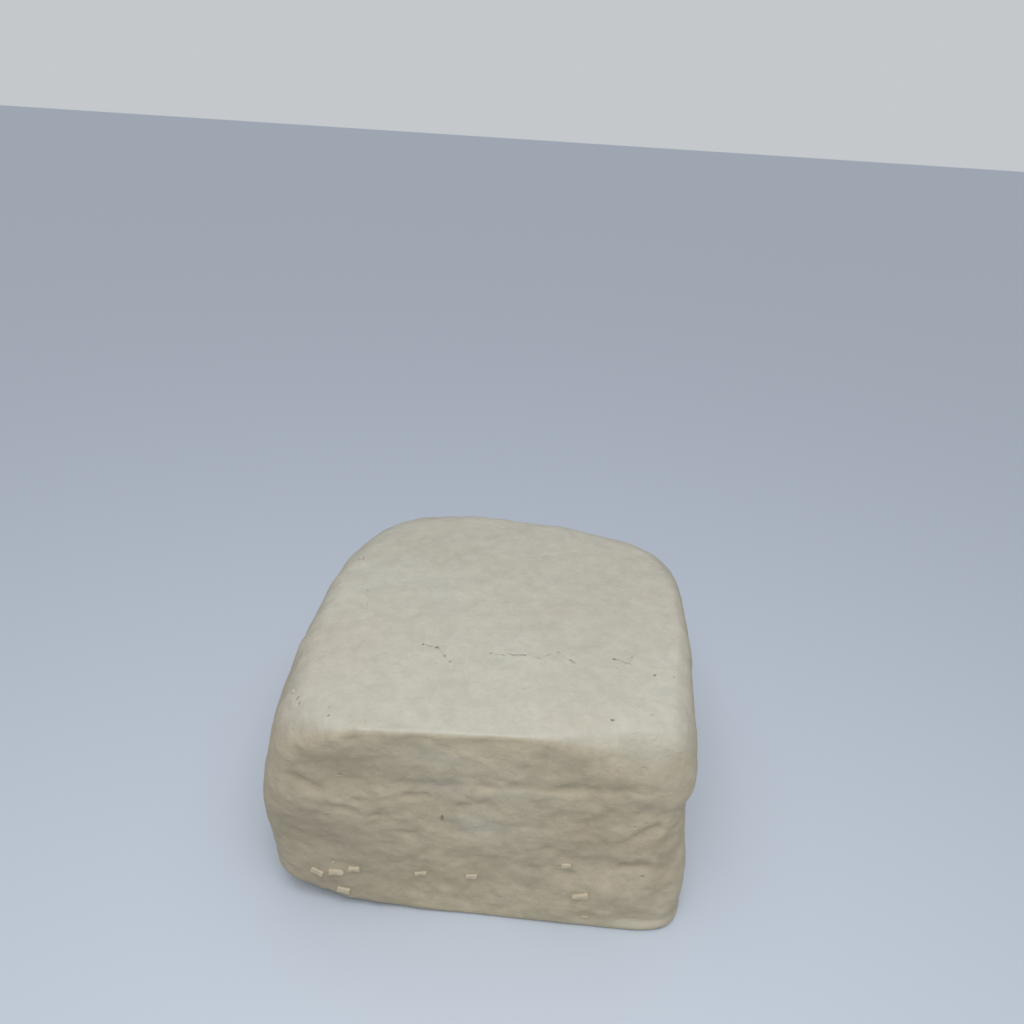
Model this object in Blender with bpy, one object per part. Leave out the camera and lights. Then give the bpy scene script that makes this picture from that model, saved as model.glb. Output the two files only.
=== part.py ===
"""A block of firm tofu, pressed in a cloth-lined box and turned out onto its base.

One solid piece, in metres, +Z up. The front looks towards -Y, +X is to its right, and
the origin is at the middle of the base. Every point of a gridded cube is moved to its
place by the sizes named here: first the outline seen from above and the rounding of
the top and bottom edges, then the lean of the sides, the overhanging upper band, the
raised front left corner of the base and the creases that the cloth left. The small
tabs that curd pushed through the slots of the box are joined on low on the front.
"""

import math

import bmesh
import bpy
from mathutils import Matrix, Vector

PART_NAME = "tofu_block"

# Overall sizes of the block before its sides lean and bulge.
WIDTH = 0.1067
DEPTH = 0.1021
HEIGHT = 0.0663
HALF_WIDTH = WIDTH / 2
HALF_DEPTH = DEPTH / 2

# The grid that is laid over each face of the starting cube, how far its lines are drawn
# together towards the cube's edges, and the share of a face outside its roundings.
GRID_CUTS = 27
GRID_CROWDING = 0.35
FLAT_SHARE = 0.80

# Squareness of the four upright corners: powers of a superellipse, 2 would be round.
CORNER_FRONT_LEFT = 9.0
CORNER_FRONT_RIGHT = 13.5
CORNER_BACK_LEFT = 7.0
CORNER_BACK_RIGHT = 8.0
CORNER_TURN = 5.0

# Reach of the rounding of the top and bottom edges, for each side and corner. Only the
# front edge of the top is crisp, because the lid of the box closed against it.
TOP_ROUNDING = {
    "front": 0.0012, "right": 0.0050, "back": 0.0085, "left": 0.0080,
    "front_left": 0.0135, "front_right": 0.0115, "back_right": 0.0180, "back_left": 0.0202,
}
BASE_ROUNDING = {
    "front": 0.0030, "right": 0.0020, "back": 0.0040, "left": 0.0068,
    "front_left": 0.0113, "front_right": 0.0040, "back_right": 0.0040, "back_left": 0.0040,
}
TOP_ROUNDING_TALLNESS = 1.3
ROUNDING_SQUARENESS = 2.2

# The stretch of a side that keeps its own rounding, as shares of the half side: where
# its middle is, half its length, and the length of each end, where the corners take over.
FRONT_STRETCH = (-0.14, 0.36, 0.54)
OTHER_STRETCH = (0.0, 0.20, 0.80)

# Lean and bulge of the sides, as shares of the half width or half depth.
BACK_SKEW = 0.20
PLAN_SHEAR = 0.089
LEFT_LEAN = 0.041
PLAN_BOW_LEFT = 0.055
PLAN_BOW_RIGHT = -0.020
PLAN_BOW_NEUTRAL = 0.6

# How far the middle height of the left and right sides bellies out, and the lower swell
# of the left side: how far it stands out, its height, and its spread up and down.
BELLY_LEFT = 0.0021
BELLY_RIGHT = 0.0020
LEFT_SWELL = 0.0028
LEFT_SWELL_HEIGHT = 0.032
LEFT_SWELL_SPREAD = 0.012

# The top rises to the right and to the back, as shares of the height, and is domed.
TOP_RISE_RIGHT = 0.020
TOP_RISE_BACK = 0.010
TOP_DOME = 0.0008

# The upper band that stands proud of the side below it, most at the front right, and
# the foot that spreads again below it.
BAND_HEIGHT = 0.0471
BAND_FALL = 0.0025
BAND_SOFTNESS = 0.006
BAND_OVERHANG = 0.0012
BAND_FRONT_SHARE = 0.6
FOOT_SPREAD = 0.0060

# The front left corner of the base, curled up off whatever the block stands on.
CURL_RISE = 0.0037
CURL_REACH = 0.054
CURL_FADE = 0.020

# How much is pressed flat at the base by the block's own weight.
BASE_PRESSED = 0.0004

# Broad unevenness of the cloth-pressed sides.
WAVE_HEIGHT = 0.00022

# Creases in the front: depth, half width, and the way each runs, as (x, z).
FRONT_CREASES = (
    (0.0008, 0.0024, ((0.003, 0.0490), (0.024, 0.0506), (0.040, 0.0509), (0.048, 0.0492))),
    (0.0005, 0.0024, ((-0.0145, 0.0480), (-0.002, 0.0486))),
    (0.0007, 0.0024, ((-0.0474, 0.0470), (-0.0422, 0.0455), (-0.0398, 0.0443))),
    (0.0006, 0.0022, ((-0.0365, 0.0383), (-0.0300, 0.0388))),
    (0.0006, 0.0022, ((-0.0288, 0.0341), (-0.0222, 0.0381))),
    (0.0007, 0.0022, ((0.0240, 0.0396), (0.0295, 0.0437))),
    (0.0010, 0.0026, ((0.0325, 0.0322), (0.0385, 0.0370), (0.0420, 0.0400))),
    (0.0007, 0.0024, ((0.0210, 0.0264), (0.0387, 0.0259), (0.0424, 0.0252))),
    (0.0014, 0.0036, ((0.0494, 0.0395), (0.0470, 0.0314), (0.0460, 0.0230))),
)

# Tabs on the front from the slots of the box: width, height, how far they stand out,
# how deep they are rooted, and the places of their middles as (x, z, tilt in degrees).
TAB_WIDTH = 0.0030
TAB_HEIGHT = 0.0017
TAB_PROUD = 0.0006
TAB_ROOT = 0.0012
TAB_ROUNDING = 0.0004
TAB_PLACES = (
    (-0.0425, 0.0146, -14.0),
    (-0.0375, 0.0153, -4.0),
    (-0.0334, 0.0163, 3.0),
    (-0.0363, 0.0071, -5.0),
    (-0.0150, 0.0150, 2.0),
    (-0.0020, 0.0152, -3.0),
    (0.0222, 0.0238, 2.0),
    (0.0264, 0.0131, 8.0),
    (0.0282, 0.0054, 0.0),
)


def smooth_step(value):
    """Return 0 below 0, 1 above 1, and a smooth rise between them."""
    value = min(max(value, 0.0), 1.0)
    return value * value * (3.0 - 2.0 * value)


def stretch_weight(along, middle, half, ends):
    """Return 1 on a stretch of a side and 0 away from it, with soft ends."""
    return 1.0 - smooth_step((abs(along - middle) - half) / ends)


def corner_squareness(cosine, sine):
    """Return the power of the outline for a heading seen from above."""
    right = 0.5 + 0.5 * math.tanh(CORNER_TURN * cosine)
    back = 0.5 + 0.5 * math.tanh(CORNER_TURN * sine)
    front_power = CORNER_FRONT_LEFT + right * (CORNER_FRONT_RIGHT - CORNER_FRONT_LEFT)
    back_power = CORNER_BACK_LEFT + right * (CORNER_BACK_RIGHT - CORNER_BACK_LEFT)
    return front_power + back * (back_power - front_power)


def outline_radius(cosine, sine):
    """Return the distance from the middle to the outline for a heading."""
    power = corner_squareness(cosine, sine)
    across = abs(cosine / HALF_WIDTH) ** power
    along = abs(sine / HALF_DEPTH) ** power
    return (across + along) ** (-1.0 / power)


def rounding_at(u, v, ring, sizes):
    """Return the reach of the rounding of the top or base edge next to a point."""
    if abs(v) >= abs(u):
        side = "front" if v < 0 else "back"
        ends = (f"{side}_left", f"{side}_right")
        along = u / ring
    else:
        side = "left" if u < 0 else "right"
        ends = (f"front_{side}", f"back_{side}")
        along = v / ring
    start, end = (sizes[corner] for corner in ends)
    corner_size = start + (end - start) * smooth_step((along + 1.0) / 2)
    stretch = FRONT_STRETCH if side == "front" else OTHER_STRETCH
    return corner_size + (sizes[side] - corner_size) * stretch_weight(along, *stretch)


def rounding_turn(share):
    """Return how far a rounding has run sideways and dropped, both as shares.

    A share of 0 is where the rounding leaves the flat face, and 1 where it meets the
    wall.
    """
    angle = min(max(share, 0.0), 1.0) * math.pi / 2
    power = 2.0 / ROUNDING_SQUARENESS
    sideways = math.sin(angle) ** power
    dropped = 1.0 - max(math.cos(angle), 0.0) ** power
    return sideways, dropped


def rounded_block(u, v, w):
    """Place a point of the cube on the rounded block.

    Returns its place and, for the later steps, the heading's cosine and sine and how
    near the point is to the side: 0 at the middle of the top, 1 on the side.
    """
    ring = max(abs(u), abs(v), 1e-6)
    heading = math.atan2(v * DEPTH, u * WIDTH)
    cosine = math.cos(heading)
    sine = math.sin(heading)
    outline = outline_radius(cosine, sine)
    top_size = rounding_at(u, v, ring, TOP_ROUNDING)
    top_drop = top_size * TOP_ROUNDING_TALLNESS
    base_size = rounding_at(u, v, ring, BASE_ROUNDING)
    size, drop = (top_size, top_drop) if w > 0 else (base_size, base_size)
    if abs(w) < FLAT_SHARE:
        radius = outline
        share = (w + FLAT_SHARE) / (2 * FLAT_SHARE)
        z = base_size + (HEIGHT - top_drop - base_size) * share
    else:
        if abs(w) < 1.0:
            turned = 1.0 - (abs(w) - FLAT_SHARE) / (1.0 - FLAT_SHARE) / 2
        else:
            turned = (ring - FLAT_SHARE) / (1.0 - FLAT_SHARE) / 2
        sideways, dropped = rounding_turn(turned)
        inside = min(ring / FLAT_SHARE, 1.0)
        radius = (outline - size) * inside + size * sideways
        from_face = drop * dropped
        z = HEIGHT - from_face if w > 0 else from_face
    place = Vector((radius * cosine, radius * sine, z))
    return place, cosine, sine, radius / outline


def left_swell(cosine, z):
    """Return how far the lower swell of the left side stands out at a height."""
    level = (z - LEFT_SWELL_HEIGHT) / LEFT_SWELL_SPREAD
    return LEFT_SWELL * max(-cosine, 0.0) * math.exp(-level * level)


def lean_sides(place, cosine, reach):
    """Skew the back, shear the plan, and bow and belly the left and right sides."""
    x, y, z = place
    if y > 0:
        y *= 1.0 - BACK_SKEW * x / HALF_WIDTH
    middle = math.cos(min(abs(y) / HALF_DEPTH, 1.0) * math.pi / 2)
    bow = PLAN_BOW_LEFT if x < 0 else PLAN_BOW_RIGHT
    x *= 1.0 + bow * (middle - PLAN_BOW_NEUTRAL)
    x += PLAN_SHEAR * y
    if x < 0:
        x *= 1.0 + LEFT_LEAN * (0.5 - z / HEIGHT)
    belly = -BELLY_LEFT if x < 0 else BELLY_RIGHT
    x += reach * belly * abs(cosine) * (math.sin(math.pi * z / HEIGHT) - 0.5)
    x -= reach * left_swell(cosine, z)
    return Vector((x, y, z))


def band_offset(place, reach):
    """Return how far the band or the foot stands out, most at the front right."""
    x, y, z = place
    side = smooth_step((reach - 0.55) / 0.35)
    right = smooth_step(x / HALF_WIDTH + 0.1)
    front = smooth_step((0.9 - y / HALF_DEPTH) / 1.2)
    lower_edge = BAND_HEIGHT - BAND_FALL * x / HALF_WIDTH
    band = smooth_step((z - lower_edge) / BAND_SOFTNESS + 0.5)
    foot = smooth_step((lower_edge - z) / lower_edge)
    return side * right * front * (BAND_OVERHANG * band + FOOT_SPREAD * foot)


def distance_to_way(x, z, way):
    """Return how far a point of the front is from a way of straight stretches."""
    point = Vector((x, z))
    nearest = math.inf
    for (x0, z0), (x1, z1) in zip(way, way[1:]):
        start = Vector((x0, z0))
        run = Vector((x1, z1)) - start
        share = (point - start).dot(run) / run.length_squared
        foot = start + run * min(max(share, 0.0), 1.0)
        nearest = min(nearest, (point - foot).length)
    return nearest


def crease_depth(place, sine, reach):
    """Return how far the creases of the front draw a point in."""
    frontness = smooth_step((-sine - 0.45) / 0.3) * smooth_step((reach - 0.85) / 0.1)
    if frontness == 0.0:
        return 0.0
    depth = 0.0
    for deepest, half_width, way in FRONT_CREASES:
        off = distance_to_way(place.x, place.z, way) / half_width
        depth = max(depth, deepest * math.exp(-off * off))
    return depth * frontness


def side_wave(place, reach):
    """Return the broad unevenness of the sides, which fades at the top and the base."""
    x, y, z = place
    around = math.atan2(y, x)
    wave = math.sin(210.0 * z + 1.5 * math.sin(3.0 * around + 0.6))
    wave += 0.8 * math.sin(115.0 * z - 5.0 * around + 1.1)
    wave += 0.6 * math.sin(9.0 * around + 60.0 * z)
    side = smooth_step((reach - 0.8) / 0.15)
    clear_of_ends = smooth_step(z / 0.012) * smooth_step((HEIGHT - z) / 0.016)
    return WAVE_HEIGHT * wave * side * clear_of_ends


def tilt_top(place):
    """Raise the top to the right and to the back, and dome it slightly."""
    x, y, z = place
    across = math.cos(min(abs(x) / HALF_WIDTH, 1.0) * math.pi / 2)
    along = math.cos(min(abs(y) / HALF_DEPTH, 1.0) * math.pi / 2)
    rise = TOP_RISE_RIGHT * x / HALF_WIDTH + TOP_RISE_BACK * y / HALF_DEPTH
    return Vector((x, y, z * (1.0 + rise) + TOP_DOME * across * along * smooth_step(z / HEIGHT)))


def curl_and_press_base(place):
    """Curl up the front left corner of the base and press the rest of it flat."""
    x, y, z = place
    from_corner = math.hypot(x + HALF_WIDTH, y + HALF_DEPTH)
    corner = smooth_step(1.0 - from_corner / CURL_REACH)
    z += CURL_RISE * corner * smooth_step(1.0 - z / CURL_FADE)
    return Vector((x, y, max(z - BASE_PRESSED, 0.0)))


def block_point(u, v, w):
    """Return the block's surface point for a point of the cube from -1 to 1."""
    place, cosine, sine, reach = rounded_block(u, v, w)
    place = lean_sides(place, cosine, reach)
    out = band_offset(place, reach)
    place.x += out * max(cosine, 0.0)
    place.y += out * min(sine, 0.0) * BAND_FRONT_SHARE
    relief = side_wave(place, reach) - crease_depth(place, sine, reach)
    place.x += relief * cosine
    place.y += relief * sine
    return curl_and_press_base(tilt_top(place))


def crowd(value):
    """Move a grid line towards the nearer edge of its cube face."""
    return value * (1.0 + GRID_CROWDING - GRID_CROWDING * value * value)


def new_collection(name):
    """Make a collection in the scene."""
    collection = bpy.data.collections.new(name)
    bpy.context.scene.collection.children.link(collection)
    return collection


def object_from_bmesh(name, mesh_edit, collection):
    """Turn an edited mesh into an object of a collection."""
    mesh = bpy.data.meshes.new(name)
    mesh_edit.to_mesh(mesh)
    mesh_edit.free()
    thing = bpy.data.objects.new(name, mesh)
    collection.objects.link(thing)
    return thing


def tofu_material():
    """Make the pale, matt, slightly warm finish of fresh firm tofu."""
    material = bpy.data.materials.new("tofu")
    material.use_nodes = True
    shader = material.node_tree.nodes["Principled BSDF"]
    shader.inputs["Base Color"].default_value = (0.62, 0.57, 0.43, 1.0)
    shader.inputs["Roughness"].default_value = 0.5
    shader.inputs["Metallic"].default_value = 0.0
    material.diffuse_color = (0.62, 0.57, 0.43, 1.0)
    return material


def flatten_base_faces(mesh_edit):
    """Join the level faces of the base into one flat face."""
    mesh_edit.normal_update()
    level = [face for face in mesh_edit.faces
             if all(vertex.co.z == 0.0 for vertex in face.verts)]
    bmesh.ops.dissolve_faces(mesh_edit, faces=level)


def make_block(collection):
    """Model the block without its tabs."""
    mesh_edit = bmesh.new()
    bmesh.ops.create_cube(mesh_edit, size=2.0)
    bmesh.ops.subdivide_edges(mesh_edit, edges=mesh_edit.edges, cuts=GRID_CUTS, use_grid_fill=True)
    for vertex in mesh_edit.verts:
        vertex.co = block_point(*(crowd(value) for value in vertex.co))
    flatten_base_faces(mesh_edit)
    return object_from_bmesh(PART_NAME, mesh_edit, collection)


def front_at(block, x, z):
    """Return the block's front surface point straight behind a point of its front view."""
    start = Vector((x, -DEPTH, z))
    hit, place, normal, _face = block.ray_cast(start, Vector((0.0, 1.0, 0.0)))
    if not hit:
        raise ValueError(f"no front at x {x}, z {z}")
    return place, normal


def make_tabs(block, collection):
    """Model the tabs as one cutter object, each tab rounded and set into the front."""
    mesh_edit = bmesh.new()
    thickness = TAB_PROUD + TAB_ROOT
    for x, z, tilt in TAB_PLACES:
        place, normal = front_at(block, x, z)
        middle = place + normal * (TAB_PROUD - TAB_ROOT) / 2
        turn = normal.to_track_quat("Y", "Z").to_matrix().to_4x4()
        spin = Matrix.Rotation(math.radians(tilt), 4, "Y")
        scale = Matrix.Diagonal((TAB_WIDTH, thickness, TAB_HEIGHT, 1.0))
        made = bmesh.ops.create_cube(mesh_edit, size=1.0)
        edges = {edge for vertex in made["verts"] for edge in vertex.link_edges}
        bmesh.ops.transform(mesh_edit, matrix=Matrix.Translation(middle) @ turn @ spin @ scale,
                            verts=made["verts"])
        bmesh.ops.bevel(mesh_edit, geom=list(edges), offset=TAB_ROUNDING, segments=2,
                        affect="EDGES", profile=0.5)
    tabs = object_from_bmesh("slot_tabs", mesh_edit, collection)
    tabs.hide_render = True
    tabs.display_type = "WIRE"
    return tabs


def join_tabs(block, tabs):
    """Unite the tabs with the block in one solid."""
    union = block.modifiers.new("join_tabs", "BOOLEAN")
    union.operation = "UNION"
    union.solver = "EXACT"
    union.object = tabs


def centre_on_base(block, tabs):
    """Move the block and its tabs so that the middle of the whole part's base is the origin."""
    bpy.context.view_layer.update()
    whole = block.evaluated_get(bpy.context.evaluated_depsgraph_get())
    corners = [Vector(corner) for corner in whole.bound_box]
    low = Vector(min(corner[axis] for corner in corners) for axis in range(3))
    high = Vector(max(corner[axis] for corner in corners) for axis in range(3))
    middle = (low + high) / 2
    shift = Matrix.Translation((-middle.x, -middle.y, -low.z))
    for thing in (block, tabs):
        thing.data.transform(shift)
        thing.data.update()


def main():
    """Build the tofu block."""
    for thing in list(bpy.data.objects):
        bpy.data.objects.remove(thing, do_unlink=True)
    parts = new_collection(PART_NAME)
    cutters = new_collection("cutters")
    block = make_block(parts)
    block.data.shade_smooth()
    block.data.materials.append(tofu_material())
    tabs = make_tabs(block, cutters)
    join_tabs(block, tabs)
    centre_on_base(block, tabs)


main()
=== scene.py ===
"""Looks of a block of firm tofu, fresh from its cloth-lined box.

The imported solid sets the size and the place. Its surface is modelled again at a finer
grain, with the wrinkles, creases, cracks and pits that pressing leaves. The tabs of curd
pushed through the slots of the box, and a few loose crumbs, are pieces of their own.
"""

import logging
import random
from dataclasses import dataclass
from enum import Enum
from functools import cached_property
from math import pi, radians

import bmesh
import bpy
import numpy as np
from mathutils import Matrix, Vector, noise


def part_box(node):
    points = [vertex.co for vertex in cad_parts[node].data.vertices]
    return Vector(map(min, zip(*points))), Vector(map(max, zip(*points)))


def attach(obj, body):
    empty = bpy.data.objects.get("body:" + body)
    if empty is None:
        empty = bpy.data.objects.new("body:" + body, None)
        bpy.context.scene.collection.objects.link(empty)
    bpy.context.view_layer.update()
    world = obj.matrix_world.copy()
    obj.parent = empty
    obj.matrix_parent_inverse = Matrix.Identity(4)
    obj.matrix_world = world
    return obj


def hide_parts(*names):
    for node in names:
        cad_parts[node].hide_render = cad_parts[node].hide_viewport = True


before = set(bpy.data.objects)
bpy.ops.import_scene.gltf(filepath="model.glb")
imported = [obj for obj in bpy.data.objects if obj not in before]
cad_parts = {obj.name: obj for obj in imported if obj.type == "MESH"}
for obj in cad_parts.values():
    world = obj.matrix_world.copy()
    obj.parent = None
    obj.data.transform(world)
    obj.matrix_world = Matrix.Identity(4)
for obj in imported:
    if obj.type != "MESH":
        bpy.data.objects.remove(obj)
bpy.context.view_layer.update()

CAD_NODE = "tofu_block"
BODY = "root"
HUNDREDTHS = 1e5  # of a millimetre, in a metre
PERCENT = 100.0

Array = np.ndarray
Pair = tuple[float, float]
Triple = tuple[float, float, float]
Quad = tuple[float, float, float, float]
Colour = Triple
Way = tuple[Pair, ...]
Socket = bpy.types.NodeSocket

LOG = logging.getLogger("tofu")


def smooth_step(value: Array) -> Array:
    """Return 0 below 0, 1 above 1, and a smooth rise between them."""
    value = np.clip(value, 0.0, 1.0)
    return value * value * (3.0 - 2.0 * value)


def stretch_weight(along: Array, middle: float, half: float, ends: float) -> Array:
    """Weigh a stretch of a side.

    Args:
        along: Place along the side, from -1 to 1.
        middle: The stretch's middle.
        half: Half the length that keeps full weight.
        ends: Length over which the weight falls to 0.

    Returns:
        1 on the stretch and 0 away from it, with soft ends.
    """
    return 1.0 - smooth_step((np.abs(along - middle) - half) / ends)


def fractal_field(points: Array, grain: float | Triple, octaves: int,
                  seed: float) -> Array:
    """Sample fractal noise.

    Args:
        points: Places in metres, one row each.
        grain: Size of the largest lumps in metres, one for all or one each for X, Y and Z.
        octaves: How many finer layers are added.
        seed: Moves the sample to another part of the noise.

    Returns:
        About -1 to 1 for each place.
    """
    scaled = points / np.array(grain) + seed
    return np.array([noise.fractal(place, 1.0, 2.0, octaves) for place in scaled])


# The block's form


@dataclass(frozen=True)
class EdgeRounding:
    """Reach of the rounding round the top or the base.

    Attributes:
        middles: At the middle of the front, the right, the back and the left.
        corners: At the front left, front right, back right and back left.
        front_stretch: Middle, half length and ends of the front's even stretch.
        other_stretch: The same for the other sides.
    """

    middles: Quad
    corners: Quad
    front_stretch: Triple = (-0.14, 0.36, 0.54)
    other_stretch: Triple = (0.0, 0.20, 0.80)

    def around(self, cube: Array) -> Array:
        """Find the rounding next to points of the cube.

        Args:
            cube: Points of the cube from -1 to 1, one row each.

        Returns:
            The reach of the rounding for each point.
        """
        u, v = cube[:, 0], cube[:, 1]
        ring = np.maximum(np.maximum(np.abs(u), np.abs(v)), 1e-6)
        faces_y = np.abs(v) >= np.abs(u)
        is_side = (faces_y & (v < 0), ~faces_y & (u > 0), faces_y & (v >= 0))
        along = np.where(faces_y, u, v) / ring
        front_left, front_right, back_right, back_left = self.corners
        middle = np.select(is_side, self.middles[:3], self.middles[3])
        start = np.select(is_side, (front_left, front_right, back_left), front_left)
        end = np.select(is_side, (front_right, back_right, back_right), back_left)
        corner = start + (end - start) * smooth_step((along + 1.0) / 2)
        weight = np.where(is_side[0], stretch_weight(along, *self.front_stretch),
                          stretch_weight(along, *self.other_stretch))
        return corner + (middle - corner) * weight


@dataclass
class SurfacePoints:
    """Points of the block's surface before its relief.

    Attributes:
        place: Rows of X, Y and Z in metres.
        heading: Rows of the cosine and sine of the way outwards from above.
        reach: 0 at the middle of the top or base, 1 on the sides.
    """

    place: Array
    heading: Array
    reach: Array


@dataclass
class BlockForm:
    """The smooth form of the block, as a cube whose every point is moved to its place."""

    half_width: float = 0.05335
    half_depth: float = 0.05105
    height: float = 0.0663
    flat_share: float = 0.80

    front_corners: Pair = (9.0, 13.5)
    back_corners: Pair = (7.0, 8.0)
    corner_turn: float = 5.0

    top_rounding: EdgeRounding = EdgeRounding(
        (0.0012, 0.0050, 0.0085, 0.0080), (0.0135, 0.0115, 0.0180, 0.0202))
    base_rounding: EdgeRounding = EdgeRounding(
        (0.0030, 0.0020, 0.0040, 0.0068), (0.0113, 0.0040, 0.0040, 0.0040))
    top_tallness: float = 1.3
    rounding_squareness: float = 2.2

    back_skew: float = 0.20
    plan_shear: float = 0.089
    left_lean: float = 0.041
    plan_bows: Pair = (0.055, -0.020)
    plan_bow_neutral: float = 0.6
    bellies: Pair = (-0.0021, 0.0020)
    left_swell: float = 0.0028
    left_swell_height: float = 0.032
    left_swell_spread: float = 0.012

    top_rise_right: float = 0.020
    top_rise_back: float = 0.010
    top_dome: float = 0.0008

    band_height: float = 0.0471
    band_fall: float = 0.0025
    band_softness: float = 0.006
    band_overhang: float = 0.0012
    band_front_share: float = 0.6
    foot_spread: float = 0.0060

    curl_rise: float = 0.0037
    curl_reach: float = 0.054
    curl_fade: float = 0.020
    base_pressed: float = 0.0004

    def _outline(self, cosine: Array, sine: Array) -> Array:
        """Find the outline seen from above.

        Args:
            cosine: Cosine of each heading.
            sine: Its sine.

        Returns:
            How far out it is.
        """
        right = 0.5 + 0.5 * np.tanh(self.corner_turn * cosine)
        back = 0.5 + 0.5 * np.tanh(self.corner_turn * sine)
        front_power, back_power = [
            corners[0] + right * (corners[1] - corners[0])
            for corners in (self.front_corners, self.back_corners)]
        power = front_power + back * (back_power - front_power)
        across = np.abs(cosine / self.half_width) ** power
        along = np.abs(sine / self.half_depth) ** power
        return (across + along) ** (-1.0 / power)

    def _rounded(self, cube: Array) -> SurfacePoints:
        """Place points on the upright rounded block.

        Args:
            cube: Points of the cube from -1 to 1, one row each.

        Returns:
            Their places, headings and reaches.
        """
        u, v, w = cube.T
        flat = self.flat_share
        ring = np.maximum(np.abs(u), np.abs(v))
        angle = np.arctan2(v * self.half_depth, u * self.half_width)
        cosine, sine = np.cos(angle), np.sin(angle)
        outline = self._outline(cosine, sine)
        top_size = self.top_rounding.around(cube)
        top_drop = top_size * self.top_tallness
        base_size = self.base_rounding.around(cube)
        size = np.where(w > 0, top_size, base_size)
        drop = np.where(w > 0, top_drop, base_size)
        on_wall = np.abs(w) < flat
        on_face = np.abs(w) >= 1.0 - 1e-9
        turned = np.where(on_face, (ring - flat) / (1.0 - flat) / 2,
                          1.0 - (np.abs(w) - flat) / (1.0 - flat) / 2)
        quarter = np.clip(turned, 0.0, 1.0) * pi / 2
        power = 2.0 / self.rounding_squareness
        sideways = np.sin(quarter) ** power
        dropped = 1.0 - np.maximum(np.cos(quarter), 0.0) ** power
        inside = np.minimum(ring / flat, 1.0)
        radius = np.where(on_wall, outline, (outline - size) * inside + size * sideways)
        wall_share = (w + flat) / (2 * flat)
        wall_z = base_size + (self.height - top_drop - base_size) * wall_share
        edge_z = np.where(w > 0, self.height - drop * dropped, drop * dropped)
        z = np.where(on_wall, wall_z, edge_z)
        place = np.stack([radius * cosine, radius * sine, z], axis=1)
        return SurfacePoints(place, np.stack([cosine, sine], axis=1), radius / outline)

    def _lean(self, surface: SurfacePoints) -> None:
        """Skew the back, shear the plan, and lean, bow and belly the sides."""
        x, y, z = surface.place.T
        y = np.where(y > 0, y * (1.0 - self.back_skew * x / self.half_width), y)
        middle = np.cos(np.minimum(np.abs(y) / self.half_depth, 1.0) * pi / 2)
        bow = np.where(x < 0, *self.plan_bows)
        x = x * (1.0 + bow * (middle - self.plan_bow_neutral))
        x = x + self.plan_shear * y
        x = np.where(x < 0, x * (1.0 + self.left_lean * (0.5 - z / self.height)), x)
        belly = np.where(x < 0, *self.bellies)
        swell = np.sin(pi * z / self.height) - 0.5
        x = x + surface.reach * belly * np.abs(surface.heading[:, 0]) * swell
        level = (z - self.left_swell_height) / self.left_swell_spread
        leftward = np.maximum(-surface.heading[:, 0], 0.0)
        x = x - self.left_swell * surface.reach * leftward * np.exp(-level ** 2)
        surface.place = np.stack([x, y, z], axis=1)

    def band_edge(self, x: Array) -> Array:
        """Return the height of the upper band's lower edge for each X."""
        return self.band_height - self.band_fall * x / self.half_width

    def _band(self, surface: SurfacePoints) -> None:
        """Let the upper band overhang and the foot spread, most at the front right."""
        x, y, z = surface.place.T
        side = smooth_step((surface.reach - 0.55) / 0.35)
        right = smooth_step(x / self.half_width + 0.1)
        front = smooth_step((0.9 - y / self.half_depth) / 1.2)
        edge = self.band_edge(x)
        band = smooth_step((z - edge) / self.band_softness + 0.5)
        foot = smooth_step((edge - z) / edge)
        out = side * right * front * (self.band_overhang * band + self.foot_spread * foot)
        cosine, sine = surface.heading.T
        x = x + out * np.maximum(cosine, 0.0)
        y = y + out * np.minimum(sine, 0.0) * self.band_front_share
        surface.place = np.stack([x, y, z], axis=1)

    def _top_and_base(self, surface: SurfacePoints) -> None:
        """Tilt and dome the top, curl up a corner of the base and press the rest flat."""
        x, y, z = surface.place.T
        across = np.cos(np.minimum(np.abs(x) / self.half_width, 1.0) * pi / 2)
        along = np.cos(np.minimum(np.abs(y) / self.half_depth, 1.0) * pi / 2)
        rise = (self.top_rise_right * x / self.half_width
                + self.top_rise_back * y / self.half_depth)
        z = z * (1.0 + rise) + self.top_dome * across * along * smooth_step(z / self.height)
        from_corner = np.hypot(x + self.half_width, y + self.half_depth)
        corner = smooth_step(1.0 - from_corner / self.curl_reach)
        z = z + self.curl_rise * corner * smooth_step(1.0 - z / self.curl_fade)
        surface.place = np.stack([x, y, np.maximum(z - self.base_pressed, 0.0)], axis=1)

    def surface(self, cube: Array) -> SurfacePoints:
        """Move points of the cube to the block's surface.

        Args:
            cube: Points of the cube from -1 to 1, one row each.

        Returns:
            The points' places, headings and reaches.
        """
        surface = self._rounded(cube)
        self._lean(surface)
        self._band(surface)
        self._top_and_base(surface)
        return surface


# The relief that pressing leaves


@dataclass(frozen=True)
class Line:
    """A crease that the cloth left in the front, or a crack in the top.

    Attributes:
        depth: How deep it is.
        above: Half width of its upper or far flank.
        below: Half width of its lower or near flank.
        way: How it runs, as (x, z) in the front or (x, y) in the top.
    """

    depth: float
    above: float
    below: float
    way: Way

    def nearness(self, flat: Array) -> Array:
        """Find how far flat places are from the line.

        Args:
            flat: Rows of two coordinates.

        Returns:
            The distance as a share of the half width on that side.
        """
        nearest = np.full(len(flat), np.inf)
        for first, last in zip(self.way, self.way[1:]):
            start = np.array(first)
            run = np.array(last) - start
            share = np.clip((flat - start) @ run / (run @ run), 0.0, 1.0)
            foot = start + share[:, None] * run
            nearest = np.minimum(nearest, np.linalg.norm(flat - foot, axis=1))
        points = np.array(sorted(self.way))
        level = np.interp(flat[:, 0], points[:, 0], points[:, 1])
        return nearest / np.where(flat[:, 1] > level, self.above, self.below)


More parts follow.
